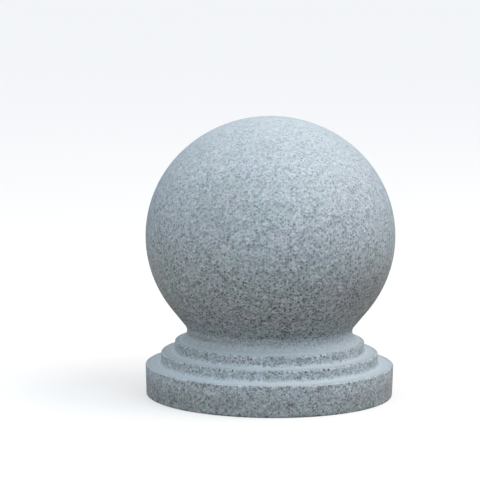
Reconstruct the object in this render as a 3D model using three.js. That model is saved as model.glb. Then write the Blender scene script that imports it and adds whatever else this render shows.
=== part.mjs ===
import * as THREE from "three";

// Granite pier ball, in millimetres: base disc, two steps, neck and ball, worked from one piece of
// stone that is round about its upright axis. The origin is the middle of the underside.

// Ball: a little flatter than it is wide. Its foot, were the curve whole, would lie inside the steps.
const BALL_DIAMETER = 250;
const BALL_HEIGHT = 239.6;
const BALL_SINK = 14.1; // depth of that foot below the top tread

// Neck: a straight flank runs off the ball into a cove that ends on the top tread.
const FLANK_TOP = 32; // height above the top tread where the flank leaves the ball
const NECK_COVE_RADIUS = 9.8;

// Steps and base disc. Each tread is measured from the riser above it out to its own edge.
const TOP_LEDGE = 1; // flat strip between the neck cove and the rounded edge
const TOP_STEP_HEIGHT = 11.5;
const MIDDLE_TREAD = 13.8;
const MIDDLE_STEP_HEIGHT = 12;
const LOWER_TREAD = 15.7;
const BASE_HEIGHT = 31;
const BASE_LEAN = 0.9; // how much narrower the base side is at its foot than at its top

// Edges: a cove where a riser meets the tread below it, and a rounded arris at each outer edge.
const STEP_COVE_RADIUS = 3.8;
const ARRIS_RADIUS = 1.2;

// Fineness of the facets
const FACETS_AROUND = 72;
const BALL_UPPER_FACETS = 18;
const BALL_LOWER_FACETS = 7;
const NECK_COVE_FACETS = 8;
const STEP_COVE_FACETS = 4;
const ARRIS_FACETS = 2;

// Directions in the upright section, as angles. A cove starts at its foot, below its own centre.
const QUARTER_TURN = Math.PI / 2;
const RIGHT = 0;
const UP = QUARTER_TURN;
const LEFT = 2 * QUARTER_TURN;
const COVE_FOOT = 3 * QUARTER_TURN;
const DOWN = -QUARTER_TURN;

// Heights of the three treads, the ball's middle and the crown, and the ball's half sizes
const lowerTread = BASE_HEIGHT;
const middleTread = lowerTread + MIDDLE_STEP_HEIGHT;
const topTread = middleTread + TOP_STEP_HEIGHT;
const ballRadius = BALL_DIAMETER / 2;
const ballRise = BALL_HEIGHT / 2;
const ballMiddle = topTread - BALL_SINK + ballRise;
const crown = ballMiddle + ballRise;

// Points on an arc about a centre, from one angle to another, both ends included
function arc(centre, reach, rise, from, to, facets) {
  const points = [];
  for (let i = 0; i <= facets; i++) {
    const angle = from + ((to - from) * i) / facets;
    points.push(
      new THREE.Vector2(centre.x + reach * Math.cos(angle), centre.y + rise * Math.sin(angle)),
    );
  }
  return points;
}

// The neck: where the flank leaves the ball, and the cove that touches both flank and top tread
function neck() {
  const leaveHeight = topTread + FLANK_TOP;
  const leaveAngle = Math.asin((leaveHeight - ballMiddle) / ballRise);
  const leave = new THREE.Vector2(ballRadius * Math.cos(leaveAngle), leaveHeight);
  const downFlank = new THREE.Vector2(
    ballRadius * Math.sin(leaveAngle),
    -ballRise * Math.cos(leaveAngle),
  ).normalize();
  const outwards = new THREE.Vector2(-downFlank.y, downFlank.x);
  const coveHeight = topTread + NECK_COVE_RADIUS;
  const flankLength = (coveHeight - leave.y - NECK_COVE_RADIUS * outwards.y) / downFlank.y;
  const coveCentre = leave
    .clone()
    .addScaledVector(downFlank, flankLength)
    .addScaledVector(outwards, NECK_COVE_RADIUS);
  const touchAngle = Math.atan2(-outwards.y, -outwards.x);
  return { leaveAngle, coveCentre, touchAngle };
}

const { leaveAngle, coveCentre, touchAngle } = neck();
const topStepRadius = coveCentre.x + TOP_LEDGE + ARRIS_RADIUS;
const middleStepRadius = topStepRadius + MIDDLE_TREAD;
const baseRadius = middleStepRadius + LOWER_TREAD;

// The cove at the foot of a riser, no larger than the tread and the riser leave room for
function stepCove(riserRadius, treadHeight, treadWidth, riserHeight) {
  const room = Math.min(treadWidth, riserHeight) - ARRIS_RADIUS;
  const radius = Math.min(STEP_COVE_RADIUS, room);
  const centre = new THREE.Vector2(riserRadius + radius, treadHeight + radius);
  return arc(centre, radius, radius, COVE_FOOT, LEFT, STEP_COVE_FACETS);
}

// The rounded upper edge of a step
function arris(edgeRadius, treadHeight) {
  const centre = new THREE.Vector2(edgeRadius - ARRIS_RADIUS, treadHeight - ARRIS_RADIUS);
  return arc(centre, ARRIS_RADIUS, ARRIS_RADIUS, RIGHT, UP, ARRIS_FACETS);
}

// The rounded lower edge of the base disc, on the bed
function foot() {
  const centre = new THREE.Vector2(baseRadius - BASE_LEAN - ARRIS_RADIUS, ARRIS_RADIUS);
  return arc(centre, ARRIS_RADIUS, ARRIS_RADIUS, DOWN, RIGHT, ARRIS_FACETS);
}

// The cove between the top tread and the flank
function neckCove() {
  const radius = NECK_COVE_RADIUS;
  return arc(coveCentre, radius, radius, COVE_FOOT, touchAngle, NECK_COVE_FACETS);
}

// The ball's outline from the flank up to the widest place, and on to just short of the crown
function ball() {
  const centre = new THREE.Vector2(0, ballMiddle);
  const lower = arc(centre, ballRadius, ballRise, leaveAngle, RIGHT, BALL_LOWER_FACETS);
  const upper = arc(centre, ballRadius, ballRise, RIGHT, UP, BALL_UPPER_FACETS);
  return [...lower, ...upper.slice(1, -1)];
}

// Half of the upright section, from the middle of the underside up to the crown
function profile() {
  return [
    new THREE.Vector2(0, 0),
    ...foot(),
    ...arris(baseRadius, lowerTread),
    ...stepCove(middleStepRadius, lowerTread, LOWER_TREAD, MIDDLE_STEP_HEIGHT),
    ...arris(middleStepRadius, middleTread),
    ...stepCove(topStepRadius, middleTread, MIDDLE_TREAD, TOP_STEP_HEIGHT),
    ...arris(topStepRadius, topTread),
    ...neckCove(),
    ...ball(),
    new THREE.Vector2(0, crown),
  ];
}

function pierBall() {
  const stone = new THREE.MeshStandardMaterial({ color: 0x98a4aa, roughness: 0.6, metalness: 0 });
  const shape = new THREE.LatheGeometry(profile(), FACETS_AROUND);
  shape.rotateX(QUARTER_TURN); // the profile turns about Y, and the stone stands along Z
  const mesh = new THREE.Mesh(shape, stone);
  mesh.name = "pier_ball";
  return mesh;
}

const ornament = new THREE.Group();
ornament.add(pierBall());

export default ornament;
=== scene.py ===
# %% [markdown]
# # A granite pier ball
#
# The stone stands on top of a gate pier: a ball that flows through a short neck into two low steps
# and a base disc, all cut from one block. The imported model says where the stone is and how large.
# This script leaves that model alone and makes the visible stone around it, from the same sizes.

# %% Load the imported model
import math

import bpy
from mathutils import Matrix, Vector


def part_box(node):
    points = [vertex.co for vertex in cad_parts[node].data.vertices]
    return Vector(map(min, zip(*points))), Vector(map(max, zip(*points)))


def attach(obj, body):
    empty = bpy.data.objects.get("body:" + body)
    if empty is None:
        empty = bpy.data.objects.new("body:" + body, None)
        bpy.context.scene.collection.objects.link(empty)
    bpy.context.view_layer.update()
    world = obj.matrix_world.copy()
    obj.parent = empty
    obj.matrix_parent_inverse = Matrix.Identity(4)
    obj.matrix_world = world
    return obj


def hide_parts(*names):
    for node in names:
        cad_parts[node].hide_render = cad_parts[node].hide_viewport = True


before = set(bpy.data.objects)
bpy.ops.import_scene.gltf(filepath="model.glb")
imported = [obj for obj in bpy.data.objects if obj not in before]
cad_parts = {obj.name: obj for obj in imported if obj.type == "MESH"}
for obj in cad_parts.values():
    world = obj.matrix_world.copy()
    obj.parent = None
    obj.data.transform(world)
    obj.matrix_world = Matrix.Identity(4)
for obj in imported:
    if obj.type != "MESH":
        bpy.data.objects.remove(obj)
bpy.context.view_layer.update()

lowest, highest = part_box("pier_ball")
print("the model spans", [round(v, 4) for v in lowest], "to", [round(v, 4) for v in highest])

# %% [markdown]
# ## The sizes
#
# A mason works such a stone from a template, so a few sizes say everything about it: the ball, the
# neck, two steps and the base. They could all be measured back from the model's mesh, but named sizes
# are easier to read and to change. So only the ball's width and the whole height are read from the
# model. The others are the sizes it was made from, in metres.

# %% The stone's sizes
MM = 0.001
ball_radius = highest.x
crown = highest.z

BALL_HEIGHT = 239.6 * MM
FLANK_TOP = 32 * MM
NECK_COVE_RADIUS = 9.8 * MM
TOP_LEDGE = 1 * MM
TOP_STEP_HEIGHT = 11.5 * MM
MIDDLE_TREAD = 13.8 * MM
MIDDLE_STEP_HEIGHT = 12 * MM
LOWER_TREAD = 15.7 * MM
BASE_HEIGHT = 31 * MM
BASE_LEAN = 0.9 * MM
STEP_COVE_RADIUS = 3.8 * MM
ARRIS_RADIUS = 1.2 * MM

lower_tread = BASE_HEIGHT
middle_tread = lower_tread + MIDDLE_STEP_HEIGHT
top_tread = middle_tread + TOP_STEP_HEIGHT
ball_rise = BALL_HEIGHT / 2
ball_middle = crown - ball_rise


def find_neck():
    """Where the flank leaves the ball, and the cove that touches the flank and the top tread."""
    leave_height = top_tread + FLANK_TOP
    leave_angle = math.asin((leave_height - ball_middle) / ball_rise)
    leave = Vector((ball_radius * math.cos(leave_angle), leave_height))
    down = Vector((ball_radius * math.sin(leave_angle), -ball_rise * math.cos(leave_angle)))
    down.normalize()
    outwards = Vector((-down.y, down.x))
    cove_height = top_tread + NECK_COVE_RADIUS
    length = (cove_height - leave.y - NECK_COVE_RADIUS * outwards.y) / down.y
    touch = leave + down * length
    return leave, touch, touch + outwards * NECK_COVE_RADIUS


flank_top, flank_foot, neck_cove = find_neck()
top_edge = neck_cove.x + TOP_LEDGE + ARRIS_RADIUS
middle_edge = top_edge + MIDDLE_TREAD
base_edge = middle_edge + LOWER_TREAD
print("base", round(2 * base_edge / MM, 1), "mm across, neck",
      round(2 * (neck_cove.x - NECK_COVE_RADIUS) / MM, 1), "mm across")

# %% [markdown]
# ## Draw the template
#
# The stone could be stacked from discs and a squashed sphere, but then every cove would need a cut of
# its own. A lathe does it in one: half of the outline, spun about the upright axis. The outline starts
# as a circle for the ball, squashed and cut in half. Its loose lower end is then led down the neck and
# over the steps: a straight run extrudes the end, and a rounded corner spins it about the corner's
# centre, so every cove and edge is a true arc.

# %% The ball's half circle
BALL_POINTS = 200
RIGHT_ANGLE = math.pi / 2


def deselect_all():
    """Leaves object mode with nothing selected."""
    if bpy.context.object and bpy.context.object.mode != "OBJECT":
        bpy.ops.object.mode_set(mode="OBJECT")
    bpy.ops.object.select_all(action="DESELECT")


deselect_all()
bpy.ops.mesh.primitive_circle_add(vertices=BALL_POINTS, radius=ball_radius,
                                  rotation=(RIGHT_ANGLE, 0, 0))
stone = bpy.context.object
stone.name = "granite_pier_ball"
bpy.ops.object.transform_apply(location=True, rotation=True, scale=True)
bpy.ops.object.mode_set(mode="EDIT")
bpy.ops.mesh.select_all(action="SELECT")
bpy.ops.transform.resize(value=(1, 1, ball_rise / ball_radius))
bpy.ops.transform.translate(value=(0, 0, ball_middle))
bpy.ops.mesh.bisect(plane_co=(0, 0, 0), plane_no=(1, 0, 0), clear_inner=True)
bpy.ops.mesh.select_all(action="SELECT")
bpy.ops.mesh.bisect(plane_co=(0, 0, flank_top.y), plane_no=(0, 0, 1), clear_inner=True)
bpy.ops.object.mode_set(mode="OBJECT")
print("the ball's outline has", len(stone.data.vertices), "points")

# %% How many parts each stretch of the outline has
FLANK_PARTS = 16
NECK_COVE_PARTS = 24
LEDGE_PARTS = 1
ARRIS_PARTS = 4
RISER_PARTS = 4
STEP_COVE_PARTS = 7
MIDDLE_TREAD_PARTS = 7
LOWER_TREAD_PARTS = 8
BASE_SIDE_PARTS = 14
FOOT_ARRIS_PARTS = 3
UNDERSIDE_PARTS = 6

# %% Helpers that lead the end along
def take_lowest_point():
    """Selects only the loose lower end of the outline."""
    bpy.ops.object.mode_set(mode="OBJECT")
    end = min(stone.data.vertices, key=lambda v: v.co.z)
    spot = end.co.copy()
    for edge in stone.data.edges:
        edge.select = False
    for vertex in stone.data.vertices:
        vertex.select = vertex.index == end.index
    bpy.ops.object.mode_set(mode="EDIT")
    bpy.ops.mesh.select_mode(type="VERT")
    return spot


def run(start, radius, height, parts):
    """Extrudes the selected end straight to a new place in the section, in equal parts."""
    goal = Vector((radius, 0, height))
    stride = (goal - start) / parts
    for _ in range(parts):
        bpy.ops.mesh.extrude_vertices_move(TRANSFORM_OT_translate={"value": stride})
    return goal


def swing(start, radius, height, angle, parts):
    """Spins the selected end about a corner's centre. A positive angle turns it from up towards out.
    The operator counts its angle the other way round from a rotation matrix."""
    centre = Vector((radius, 0, height))
    bpy.ops.mesh.spin(steps=parts, angle=-angle, center=centre, axis=(0, 1, 0))
    return centre + Matrix.Rotation(angle, 3, "Y") @ (start - centre)


def step_down(end, edge, tread, next_tread, parts):
    """Out along a tread, over its rounded edge, down the riser and round the cove to the next tread."""
    end = run(end, edge - ARRIS_RADIUS, tread, parts)
    end = swing(end, edge - ARRIS_RADIUS, tread - ARRIS_RADIUS, RIGHT_ANGLE, ARRIS_PARTS)
    end = run(end, edge, next_tread + STEP_COVE_RADIUS, RISER_PARTS)
    return swing(end, edge + STEP_COVE_RADIUS, next_tread + STEP_COVE_RADIUS, -RIGHT_ANGLE,
                 STEP_COVE_PARTS)


# %% Lead the end down the neck and over the steps
end = take_lowest_point()
end = run(end, flank_foot.x, flank_foot.y, FLANK_PARTS)
spread = RIGHT_ANGLE + math.atan2(flank_foot.y - neck_cove.y, neck_cove.x - flank_foot.x)
end = swing(end, neck_cove.x, neck_cove.y, -spread, NECK_COVE_PARTS)
end = step_down(end, top_edge, top_tread, middle_tread, LEDGE_PARTS)
end = step_down(end, middle_edge, middle_tread, lower_tread, MIDDLE_TREAD_PARTS)
end = run(end, base_edge - ARRIS_RADIUS, lower_tread, LOWER_TREAD_PARTS)
end = swing(end, base_edge - ARRIS_RADIUS, lower_tread - ARRIS_RADIUS, RIGHT_ANGLE, ARRIS_PARTS)
foot_edge = base_edge - BASE_LEAN
end = run(end, foot_edge, ARRIS_RADIUS, BASE_SIDE_PARTS)
end = swing(end, foot_edge - ARRIS_RADIUS, ARRIS_RADIUS, RIGHT_ANGLE, FOOT_ARRIS_PARTS)
end = run(end, 0, 0, UNDERSIDE_PARTS)
bpy.ops.object.mode_set(mode="OBJECT")
print("the outline has", len(stone.data.vertices), "points and ends at", end)

# %% [markdown]
# ## Turn the stone
#
# The real stone is turned against a grinder until it fits the template all the way round. A Screw
# modifier could turn the outline too, but the next steps work on single points, so it is spun at once:
# one spin of the whole outline about the upright axis makes the skin. The last copy lands on the
# first, and the crown and the middle of the underside become bundles of points, so doubles are merged
# and the faces are then turned to point outwards.

# %% Spin the outline
TURNS = 480
MERGE = 0.01 * MM

bpy.ops.object.mode_set(mode="EDIT")
bpy.ops.mesh.select_all(action="SELECT")
bpy.ops.mesh.spin(steps=TURNS, angle=2 * math.pi, center=(0, 0, 0), axis=(0, 0, 1))
bpy.ops.mesh.select_all(action="SELECT")
bpy.ops.mesh.remove_doubles(threshold=MERGE)
bpy.ops.mesh.normals_make_consistent(inside=False)
bpy.ops.object.mode_set(mode="OBJECT")
bpy.ops.object.shade_smooth()
print("the turned stone has", len(stone.data.polygons), "faces")

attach(stone, "root")
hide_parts("pier_ball")

# %% [markdown]
# ## Scribe the neck
#
# Two fine lines run round the stone, where one tool stopped and the next began: one at the throat,
# where the ball's grinding ends, and one at the foot of the neck's cove. A boolean cut would do it,
# but each line is only one ring of points, pushed a little way into the stone.

# %% Push two rings in
THROAT_LINE = 65.7 * MM
THROAT_LINE_DEPTH = 0.35 * MM
THROAT_REACH = 1 * MM
COVE_LINE_DEPTH = 0.2 * MM
COVE_FOOT_REACH = 0.25 * MM
SAME_HEIGHT = 0.001 * MM


def take_ring(height, radius, reach):
    """Selects the ring of points nearest a height and within reach of a radius. Gives its height."""
    bpy.ops.object.mode_set(mode="EDIT")
    bpy.ops.mesh.select_mode(type="VERT")
    bpy.ops.mesh.select_all(action="DESELECT")
    bpy.ops.object.mode_set(mode="OBJECT")
    # A change of mode rebuilds the mesh, so its points are looked up only after the last one
    near = [v for v in stone.data.vertices if abs(math.hypot(v.co.x, v.co.y) - radius) < reach]
    ring_height = min(near, key=lambda v: abs(v.co.z - height)).co.z
    for vertex in near:
        vertex.select = abs(vertex.co.z - ring_height) < SAME_HEIGHT
    bpy.ops.object.mode_set(mode="EDIT")
    return ring_height


throat = neck_cove.x - NECK_COVE_RADIUS
line_height = take_ring(THROAT_LINE, throat, THROAT_REACH)
shrink = 1 - THROAT_LINE_DEPTH / throat
bpy.ops.transform.resize(value=(shrink, shrink, 1), center_override=(0, 0, 0))
take_ring(top_tread, neck_cove.x, COVE_FOOT_REACH)
bpy.ops.transform.translate(value=(0, 0, -COVE_LINE_DEPTH))
bpy.ops.object.mode_set(mode="OBJECT")
print("the throat line is", round(line_height / MM, 1), "mm up")

# %% [markdown]
# ## Wear the edges
#
# Granite is coarse, so a cut edge is never quite straight: grains break out of it. Painting that on
# would leave the outline perfect. Instead the points near each edge are gathered in a vertex group,
# and a Displace modifier pushes only those in, by a cloud pattern that is flat except for its brightest
# spots. The modifier is then applied, so the chips are part of the mesh.

# %% Gather the points near the edges
EDGE_REACH = 2.2 * MM
EDGES = [(top_edge, top_tread), (middle_edge, middle_tread), (base_edge, lower_tread),
         (foot_edge, 0)]


def from_edge(point):
    """How far a point is from the nearest edge of a step or of the base."""
    radius = math.hypot(point.x, point.y)
    return min(math.hypot(radius - r, point.z - z) for r, z in EDGES)


edge_points = stone.vertex_groups.new(name="edges")
for vertex in stone.data.vertices:
    weight = 1 - from_edge(vertex.co) / EDGE_REACH
    if weight > 0:
        edge_points.add([vertex.index], weight, "REPLACE")
print("the edges reach", round(EDGE_REACH / MM, 1), "mm to either side")

# %% Push the edge points in
CHIP_SIZE = 4 * MM
CHIP_DEPTH = 0.25 * MM
NO_CHIP = 0.5
FULL_CHIP = 0.8

chips = bpy.data.textures.new("edge_chips", "CLOUDS")
chips.noise_scale = CHIP_SIZE
chips.noise_depth = 1
chips.use_color_ramp = True
chips.color_ramp.elements[0].position = NO_CHIP
chips.color_ramp.elements[0].color = (0, 0, 0, 1)
chips.color_ramp.elements[1].position = FULL_CHIP
chips.color_ramp.elements[1].color = (1, 1, 1, 1)

deselect_all()
bpy.context.view_layer.objects.active = stone
stone.select_set(True)
bpy.ops.object.modifier_add(type="DISPLACE")
wear = stone.modifiers[-1]
wear.texture = chips
wear.texture_coords = "LOCAL"
wear.vertex_group = "edges"
wear.mid_level = 0
wear.strength = -CHIP_DEPTH
bpy.ops.object.modifier_apply(modifier=wear.name)
print("edges worn, up to", CHIP_DEPTH / MM, "mm deep")

# %% [markdown]
# ## Mark the pale film with its painted sheen, and the darkening with its painted shade
#
# The grain shows most where the stone faces down, and least where it faces up: dust and rain leave a
# light film over it, and where it faces up the film also stands for a painted sheen of the bright sky.
# The coves and treads are also hard to reach with a polishing pad, so they stay paler still. Painted
# shade darkens the throat, the flank under the ball, the risers and the foot of the base. The edges at
# the right look darker in the picture and are darkened too. A few soft marks are listed as well: pale
# ones are painted highlights on the ball, and dark ones are painted shade. The material could work
# this out from heights, but the mesh knows its own shape best, so each point gets two numbers of its
# own, one for the film with its painted sheen and one for the darkening: 0 is none of it, and 1 or
# more is all of it.

# %% Soft steps, bands and patches
def smooth(value):
    """A soft step from 0 to 1."""
    value = min(1, max(0, value))
    return value * value * (3 - 2 * value)


def band(height, middle, reach):
    """1 at the middle of a band of heights, fading to 0 at its reach."""
    return 1 - smooth(abs(height - middle) / reach)


def rightness(point):
    """From 0 at the stone's left side to 1 at its right side."""
    return smooth(0.5 + 0.5 * point.x / ball_radius)


def patch(point, around, up, half_width, half_height):
    """1 in the middle of a patch on the ball, fading to 0 at its border. The place is in degrees:
    around the stone from its front towards the right, and up from the ball's widest line."""
    if point.z < flank_top.y:
        return 0
    turned = math.atan2(point.x, -point.y) - math.radians(around)
    raised = math.asin(max(-1, min(1, (point.z - ball_middle) / ball_rise))) - math.radians(up)
    across = turned * ball_radius * math.cos(math.radians(up)) / half_width
    return 1 - smooth(math.hypot(across, raised * ball_rise / half_height))


# %% The pale film, with its painted sheen and painted highlights
VEIL_UPRIGHT = 0.28
# Painted sheen of the bright sky: the more a face looks up, the paler it is painted
SHEEN_BY_TILT = 0.36
NECK_FOOT = top_tread + MM
NECK_VEIL = 0.26
NECK_VEIL_TOP = neck_cove.y + 3 * MM
NECK_VEIL_FADE = 4 * MM
NECK_VEIL_MOST = 0.84
TREAD_VEIL = 0.40
TREAD_TILT = 0.5
TREAD_TILT_FADE = 0.45
COLLAR_VEIL = 0.30
COLLAR_MIDDLE = 2 * MM
COLLAR_REACH = 2.8 * MM
LEFT_EDGE_RUB = 0.55
RIGHT_EDGE_RUB = 0.95
EDGE_RUB_REACH = 5.5 * MM
SAWN_VEIL = 0.6
# Painted highlights on the ball: a soft spot at its upper right, and a tall narrow streak of reflection
# at its right
# Each mark has its place around and up in degrees, its half width and half height, and its strength
PAINTED_HIGHLIGHTS = [(40, 37, 9 * MM, 9 * MM, 0.5), (57.6, 3, 4 * MM, 30 * MM, 0.4)]


def veil_and_sheen(vertex):
    """How much the grain is hidden, also by painted sky sheen and painted highlights."""
    tilt = vertex.normal.z
    height = vertex.co.z
    if height < SAME_HEIGHT:
        return SAWN_VEIL
    share = VEIL_UPRIGHT + SHEEN_BY_TILT * tilt
    if height > NECK_FOOT:
        share += NECK_VEIL * smooth((NECK_VEIL_TOP - height) / NECK_VEIL_FADE)
        share += COLLAR_VEIL * band(height, line_height + COLLAR_MIDDLE, COLLAR_REACH)
        share = min(NECK_VEIL_MOST, share)
    else:
        share += TREAD_VEIL * smooth((tilt - TREAD_TILT) / TREAD_TILT_FADE)
    for around, up, half_width, half_height, amount in PAINTED_HIGHLIGHTS:
        share += amount * patch(vertex.co, around, up, half_width, half_height)
    rubbed = 1 - smooth(from_edge(vertex.co) / EDGE_RUB_REACH)
    rub = LEFT_EDGE_RUB + (RIGHT_EDGE_RUB - LEFT_EDGE_RUB) * rightness(vertex.co)
    return max(0, min(1, share) * (1 - rub * rubbed))


# %% The darkening: painted shade, and darker edges at the right
# Painted shade in the crease of the throat and down the neck's cove, under the ball
THROAT_SHADE = 0.7
THROAT_FOOT = top_tread + 4 * MM
COVE_SHADE = 0.2
# The throat's painted shade is strongest at the left, away from the light
RIGHT_THROAT_SHARE = 0.05
LEFT_THROAT_SHARE = 1.7
LINE_SHADE_MIDDLE = line_height - 1.2 * MM
LINE_SHADE_REACH = 1.8 * MM
# Painted shade on the risers, which get less light between the treads and under the ball
RISER_SHADE = 0.2
RISER_TILT = 0.7
# Painted shade on the flank and the ball's underside, where the ball shades itself
FLANK_SHADE = 0.42
FLANK_SHADE_TOP = 105 * MM
FLANK_SHADE_FOOT = line_height + 2 * MM
FLANK_SHADE_FADE = 4 * MM
# Painted shade near the floor: the base side is darker towards its bottom
FOOT_SHADE = 0.7
FOOT_SHADE_TOP = 24 * MM
FOOT_SHADE_FADE = 12 * MM
# The edges are darker towards the right
EDGE_DARKENING = 0.5
EDGE_DARKENING_REACH = 2.5 * MM
# Painted shade on the ball: a large patch at its lower right and a weaker one at its upper left
PAINTED_SHADE_MARKS = [(55, -22, 75 * MM, 55 * MM, 0.7), (-24, 22, 55 * MM, 45 * MM, 0.3)]


def neck_shade(point):
    """Painted shade, darkest just below the scribed line, thinning down the cove and towards the right.
    """
    leftness = 0.5 - 0.5 * point.x / math.hypot(point.x, point.y)
    share = RIGHT_THROAT_SHARE + (LEFT_THROAT_SHARE - RIGHT_THROAT_SHARE) * leftness
    if point.z > LINE_SHADE_MIDDLE:
        return share * THROAT_SHADE * band(point.z, LINE_SHADE_MIDDLE, LINE_SHADE_REACH)
    depth = smooth((point.z - THROAT_FOOT) / (LINE_SHADE_MIDDLE - THROAT_FOOT))
    in_cove = smooth((point.z - NECK_FOOT) / MM)
    return share * max(COVE_SHADE * in_cove, THROAT_SHADE * depth)


def darkening(vertex):
    """How much the stone is darkened: mostly painted shade, and darker edges at the right."""
    tilt = vertex.normal.z
    height = vertex.co.z
    share = 0
    if NECK_FOOT < height < flank_top.y:
        share = neck_shade(vertex.co)
    if FLANK_SHADE_FOOT < height:
        under_ball = smooth((FLANK_SHADE_TOP - height) / (FLANK_SHADE_TOP - flank_top.y))
        above_line = smooth((height - FLANK_SHADE_FOOT) / FLANK_SHADE_FADE)
        share = max(share, FLANK_SHADE * under_ball * above_line)
    if lower_tread < height < top_tread:
        share = RISER_SHADE * (1 - smooth(tilt / RISER_TILT))
    if height < lower_tread:
        share = FOOT_SHADE * smooth((FOOT_SHADE_TOP - height) / FOOT_SHADE_FADE)
    at_edge = 1 - smooth(from_edge(vertex.co) / EDGE_DARKENING_REACH)
    share = max(share, EDGE_DARKENING * rightness(vertex.co) * at_edge)
    for around, up, half_width, half_height, amount in PAINTED_SHADE_MARKS:
        share = max(share, amount * patch(vertex.co, around, up, half_width, half_height))
    return share


# %% Give each point its two numbers
for name, measure in (("veil_and_sheen", veil_and_sheen), ("darkening", darkening)):
    layer = stone.data.attributes.new(name, "FLOAT", "POINT")
    values = [measure(vertex) for vertex in stone.data.vertices]
    layer.data.foreach_set("value", values)
    print(name, "runs from", round(min(values), 2), "to", round(max(values), 2))

# %% [markdown]
# ## Granite
#
# Granite is grains of three minerals packed together. Black mica sits in it as small separate flakes,
# and glassy grey quartz and milky feldspar fill the rest. Plain noise could stand for the grain, but
# it gives smooth blots with no borders. Cells of one tone each look like packed grains, so one layer
# of cells makes the pale ground and a second, larger one the mica, and a fine ripple of the place makes
# their borders ragged. All of it is solid, so the grain runs through the stone with no seam.

# %% Helpers for nodes
granite = bpy.data.materials.new("granite")
granite.use_nodes = True
nodes = granite.node_tree.nodes
links = granite.node_tree.links
shader = nodes["Principled BSDF"]


def node(kind, label, inputs=(), **settings):
    """A new node. Its inputs are given as pairs of a socket and a number, a colour or a link."""
    made = nodes.new("ShaderNode" + kind)
    made.name = made.label = label
    for name, value in settings.items():
        setattr(made, name, value)
    for socket, value in inputs:
        if isinstance(value, bpy.types.NodeSocket):
            links.new(value, made.inputs[socket])
        else:
            made.inputs[socket].default_value = value
    return made


def blend(label, share, first, second, way="MIX"):
    """Mixes two colours."""
    made = node("Mix", label, data_type="RGBA", blend_type=way,
                inputs=[(0, share), (6, first), (7, second)])
    return made.outputs[2]


def remap(label, value, low, high, new_low, new_high, way="LINEAR"):
    """Stretches a value from one range to another."""
    made = node("MapRange", label, interpolation_type=way,
                inputs=[(0, value), (1, low), (2, high), (3, new_low), (4, new_high)])
    return made.outputs["Result"]


def set_stops(ramp, tones):
    """Gives a colour ramp its stops, each a position and a colour. A new ramp has two of them."""
    stops = ramp.color_ramp.elements
    for index, (position, tone) in enumerate(tones):
        stop = stops[index] if index < 2 else stops.new(position)
        stop.position = position
        stop.color = tone
    print(ramp.name, "has", len(stops), "stops")


# %% The grains' ragged borders
RIPPLE_SCALE = 440
NOISE_MIDDLE = (0.5, 0.5, 0.5)
RAGGED = 0.85 * MM

place = node("TexCoord", "place").outputs["Object"]
ripple = node("TexNoise", "ripple", [("Vector", place), ("Scale", RIPPLE_SCALE), ("Detail", 1)])
centred = node("VectorMath", "centred ripple", [(0, ripple.outputs["Color"]), (1, NOISE_MIDDLE)],
               operation="SUBTRACT")
ragged = node("VectorMath", "ragged place",
              [(0, centred.outputs[0]), (1, (RAGGED, RAGGED, RAGGED)), (2, place)],
              operation="MULTIPLY_ADD").outputs[0]

# %% Quartz and feldspar
MICA = (0.045, 0.05, 0.055, 1)
QUARTZ = (0.205, 0.223, 0.234, 1)
FELDSPAR = (0.39, 0.42, 0.44, 1)
PALE_FELDSPAR = (0.555, 0.594, 0.618, 1)
GROUND_GRAIN = 1.7 * MM
GROUND_TONES = [(0.10, QUARTZ), (0.42, FELDSPAR), (0.72, FELDSPAR), (0.92, PALE_FELDSPAR)]


def grains(label, size):
    """Cells of one size: how far a place is from its cell's middle, and the cell's two numbers."""
    cells = node("TexVoronoi", label, [("Vector", ragged), ("Scale", 1 / size)])
    numbers = node("SeparateColor", label + " numbers", [(0, cells.outputs["Color"])])
    return cells.outputs["Distance"], numbers.outputs[0], numbers.outputs[1]


_, ground_number, _ = grains("ground grains", GROUND_GRAIN)
ground_ramp = node("ValToRGB", "ground colours", [(0, ground_number)])
set_stops(ground_ramp, GROUND_TONES)
ground = ground_ramp.outputs[0]

# %% Mica flakes
MICA_GRAIN = 2.5 * MM
LARGEST_FLAKE = 0.58
PALEST_FLAKE = 0.3
FLAKE_BORDER = 0.08

flake_distance, flake_number, flake_depth = grains("mica flakes", MICA_GRAIN)
flake_edge = remap("flake edge", flake_number, 0, 1, 0, LARGEST_FLAKE)
inside = node("Math", "inside flake", [(0, flake_edge), (1, flake_distance)], operation="SUBTRACT")
darkest = remap("darkest of flake", flake_depth, 0, 1, PALEST_FLAKE, 1)
flake = remap("flake", inside.outputs[0], -FLAKE_BORDER, FLAKE_BORDER, 0, darkest, "SMOOTHSTEP")
bare = blend("bare grain", flake, ground, MICA)

# %% Slow drift of tone and hue
DRIFT_COOL = (0.935, 1.0, 0.95, 1)
DRIFT_WARM = (1.055, 1.0, 1.045, 1)
DARK_CLOUD = (0.93, 0.93, 0.93, 1)
PALE_CLOUD = (1.07, 1.07, 1.07, 1)
DRIFT_SCALE = 65
DRIFT_RANGE = (0.32, 0.68)
CLOUD_SCALE = 130
CLOUD_RANGE = (0.3, 0.7)

drift_noise = node("TexNoise", "drift", [("Vector", place), ("Scale", DRIFT_SCALE), ("Detail", 1)])
drift_share = remap("drift share", drift_noise.outputs[0], *DRIFT_RANGE, 0, 1)
drift = blend("drift tint", drift_share, DRIFT_COOL, DRIFT_WARM)
cloud_noise = node("TexNoise", "clouds", [("Vector", place), ("Scale", CLOUD_SCALE), ("Detail", 2)])
cloud_share = remap("cloud share", cloud_noise.outputs[0], *CLOUD_RANGE, 0, 1)
clouds = blend("cloud tone", cloud_share, DARK_CLOUD, PALE_CLOUD)
bare = blend("drifted grain", 1, bare, blend("drift and clouds", 1, drift, clouds, "MULTIPLY"),
             "MULTIPLY")

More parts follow.
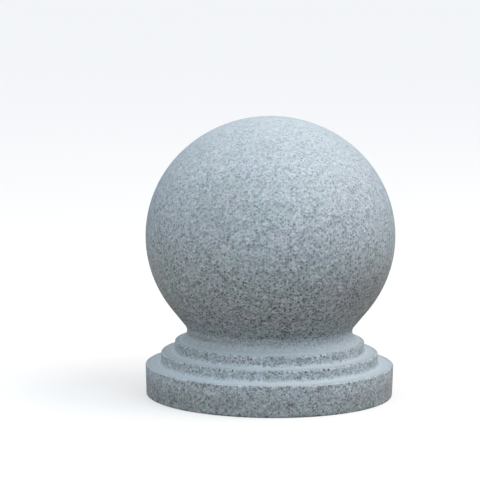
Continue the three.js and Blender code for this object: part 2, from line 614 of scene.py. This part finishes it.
# %% [markdown]
# ## What lies over the grain
#
# Dust and dried rain lie on the stone as a pale film, which where it faces up also stands for a painted
# sheen of the sky and for painted highlights. Painted shade darkens its sheltered places, its underside
# and its foot. One layer of noise could stand for both, but a film hides the grain, while shade lets it
# show through. So the film is mixed over the grain by its number, and the darkening multiplies what is
# there by a dull brown, in uneven patches.

# %% The pale film with its painted sheen, and the painted shade over it
# The film's tone, for dust and for the painted sky sheen
VEIL = (0.375, 0.406, 0.427, 1)
# The palest tone, where the film is thickest: on the treads and in the painted highlights
PALEST_VEIL = (0.412, 0.447, 0.469, 1)
PALEST_FROM = 0.85
# The dull brown tint of the darkening, which is mostly painted shade
DARKENING_TINT = (0.68, 0.66, 0.63, 1)
PATCH_SCALE = 90
PATCH_RANGE = (0.3, 0.6)
FAINTEST_PATCH = 0.5

veil_share = node("Attribute", "veil_and_sheen", attribute_name="veil_and_sheen").outputs["Fac"]
palest = remap("palest", veil_share, PALEST_FROM, 1, 0, 1)
veiled = blend("veiled grain", veil_share, bare, blend("veil colour", palest, VEIL, PALEST_VEIL))
darkening_mark = node("Attribute", "darkening", attribute_name="darkening").outputs["Fac"]
patches = node("TexNoise", "grime patches", [("Vector", place), ("Scale", PATCH_SCALE), ("Detail", 3)])
patchy = remap("patchy", patches.outputs[0], *PATCH_RANGE, FAINTEST_PATCH, 1)
darkening_share = node("Math", "grime share", [(0, darkening_mark), (1, patchy)], operation="MULTIPLY")
finished = blend("finished colour", darkening_share.outputs[0], veiled,
                 blend("darkened", 1, veiled, DARKENING_TINT, "MULTIPLY"))
links.new(finished, shader.inputs["Base Color"])

# %% [markdown]
# ## Sheen and pits
#
# Bare honed granite has a low sheen, and the veiled parts are duller. Its grains wear unevenly, so the
# face is finely pitted. Real pits would need millions of faces, so a bump gives each grain a height
# of its own instead.

# %% Sheen and relief
BARE_ROUGHNESS = 0.46
VEILED_ROUGHNESS = 0.68
DULL_FROM = 0.7
PIT_STRENGTH = 0.25
PIT_DEPTH = 0.15 * MM

roughness = remap("roughness", veil_share, 0, DULL_FROM, BARE_ROUGHNESS, VEILED_ROUGHNESS)
links.new(roughness, shader.inputs["Roughness"])
pits = node("Bump", "pits", [("Height", ground_number), ("Strength", PIT_STRENGTH),
                             ("Distance", PIT_DEPTH)])
links.new(pits.outputs[0], shader.inputs["Normal"])
stone.data.materials.append(granite)
print("the granite is made of", len(nodes), "nodes")

# %% [markdown]
# ## The camera
#
# The stone is seen from a little above and from about two metres away, through a long lens. Such a
# view could be set by eye. Here the flatness of the steps' ellipses gives the angle, the stone's width
# in the picture gives the lens for that distance, and the whole camera turns a little to the left, so
# that the stone stands right of the middle as it should.

# %% Camera
FRAME_PIXELS = 480
FOCAL_PIXELS = 2200
STONE_COLUMN = 270.6
EYE_DISTANCE = 2.187
EYE_HEIGHT = 0.4377
LOOK_DOWN = 0.1283
TILT = 0.006
SENSOR_WIDTH = 36
FARTHEST_SEEN = 200

deselect_all()
bpy.ops.object.camera_add(location=(0, -EYE_DISTANCE, EYE_HEIGHT))
camera = bpy.context.object
camera.name = "camera"
camera.data.sensor_width = SENSOR_WIDTH
camera.data.lens = SENSOR_WIDTH * FOCAL_PIXELS / FRAME_PIXELS
camera.data.clip_end = FARTHEST_SEEN
look_left = math.atan((STONE_COLUMN - FRAME_PIXELS / 2) / FOCAL_PIXELS)
turn = (Matrix.Rotation(look_left, 3, "Z") @ Matrix.Rotation(RIGHT_ANGLE - LOOK_DOWN, 3, "X")
        @ Matrix.Rotation(TILT, 3, "Z"))
camera.rotation_euler = turn.to_euler()
bpy.context.scene.camera = camera
print("the lens is", round(camera.data.lens), "mm")

# %% [markdown]
# ## The floor
#
# The stone stands on a plain pale floor. A bright white floor would be simple, but it would throw so
# much light up at the ball that its dark underside would be lost. So the floor has two colours: what
# the camera sees is nearly white, and what lights the stone from below is a dull sand, as on open
# ground. The Light Path node tells the two apart.

# %% Floor
FLOOR_SIZE = 80
GROUND = (0.23, 0.187, 0.14, 1)
SHOWN_FLOOR = (0.45, 0.42, 0.40, 1)
FLOOR_GLOW = 0.42
FLOOR_ROUGHNESS = 0.9

deselect_all()
bpy.ops.mesh.primitive_plane_add(size=FLOOR_SIZE)
floor = bpy.context.object
floor.name = "floor"
pale = bpy.data.materials.new("pale_floor")
pale.use_nodes = True
floor.data.materials.append(pale)
floor_nodes = pale.node_tree.nodes
floor_links = pale.node_tree.links
floor_shader = floor_nodes["Principled BSDF"]
floor_shader.inputs["Roughness"].default_value = FLOOR_ROUGHNESS
floor_shader.inputs["Emission Color"].default_value = (1, 1, 1, 1)
seen = floor_nodes.new("ShaderNodeLightPath").outputs["Is Camera Ray"]
shown = floor_nodes.new("ShaderNodeMix")
shown.data_type = "RGBA"
shown.inputs[6].default_value = GROUND
shown.inputs[7].default_value = SHOWN_FLOOR
glow = floor_nodes.new("ShaderNodeMath")
glow.operation = "MULTIPLY"
glow.inputs[1].default_value = FLOOR_GLOW
floor_links.new(seen, shown.inputs[0])
floor_links.new(shown.outputs[2], floor_shader.inputs["Base Color"])
floor_links.new(seen, glow.inputs[0])
floor_links.new(glow.outputs[0], floor_shader.inputs["Emission Strength"])
print("the floor is", FLOOR_SIZE, "m across")

# %% [markdown]
# ## The sky
#
# A studio tent surrounds the stone with soft light. It could be built of white walls, but a world
# background does the same with less noise in the picture. Its colour goes by height: dim near the
# floor, so that the lower half of the ball falls into shade, and bright above. Where the camera looks
# past the floor it sees only a plain pale tone.

# %% Sky
LOW_SKY = (0.05, 0.16, 0.50, 1)
MIDDLE_SKY = (1.23, 1.35, 1.29, 1)
HIGH_SKY = (1.02, 1.10, 1.27, 1)
SHOWN_SKY = (0.92, 0.95, 0.98, 1)
SKY_TONES = [(0, GROUND), (0.01, LOW_SKY), (0.26, LOW_SKY), (0.38, MIDDLE_SKY), (0.64, MIDDLE_SKY),
             (0.76, HIGH_SKY)]

world = bpy.data.worlds.new("studio")
bpy.context.scene.world = world
world.use_nodes = True
sky = world.node_tree.nodes
sky_links = world.node_tree.links
direction = sky.new("ShaderNodeTexCoord")
split = sky.new("ShaderNodeSeparateXYZ")
dome = sky.new("ShaderNodeValToRGB")
sky_links.new(direction.outputs["Generated"], split.inputs[0])
sky_links.new(split.outputs["Z"], dome.inputs[0])
backdrop = sky.new("ShaderNodeMix")
backdrop.data_type = "RGBA"
backdrop.inputs[7].default_value = SHOWN_SKY
sky_links.new(sky.new("ShaderNodeLightPath").outputs["Is Camera Ray"], backdrop.inputs[0])
sky_links.new(dome.outputs[0], backdrop.inputs[6])
sky_links.new(backdrop.outputs[2], sky["Background"].inputs["Color"])
set_stops(dome, SKY_TONES)

# %% [markdown]
# ## Three softboxes
#
# The ball is brightest at its upper right and falls off to the left and below. One lamp could do
# that, but its edge of shadow would be too hard and its colour too even. Three large round lamps far
# from the stone give the soft fall: a cool one in front, a warm one at the right and a weak one at
# the left. A lamp's power and colour are given together, as its red, green and blue watts.

# %% Softboxes
LAMP_SIZE = 1.6
LAMP_DISTANCE = 2.5
STONE_MIDDLE = Vector((0, 0, 0.15))


def softbox(name, azimuth, elevation, watts):
    """A round soft light, turned to the stone. Its place is in degrees, around from the right and up."""
    around = math.radians(azimuth)
    up = math.radians(elevation)
    toward = Vector((math.cos(around) * math.cos(up), math.sin(around) * math.cos(up), math.sin(up)))
    deselect_all()
    bpy.ops.object.light_add(type="AREA", location=STONE_MIDDLE + toward * LAMP_DISTANCE,
                             rotation=toward.to_track_quat("Z", "Y").to_euler())
    lamp = bpy.context.object
    lamp.name = name
    lamp.data.shape = "DISK"
    lamp.data.size = LAMP_SIZE
    lamp.data.energy = max(watts)
    lamp.data.color = [part / max(watts) for part in watts]
    print(name, "gives up to", max(watts), "watts")


softbox("left_softbox", -135, 20, (8.4, 9.4, 8.6))
softbox("front_softbox", -42, 48, (17.8, 22.1, 25.2))
softbox("right_softbox", 0, 50, (24.6, 20.6, 16.3))
bpy.context.scene.view_settings.view_transform = "Standard"
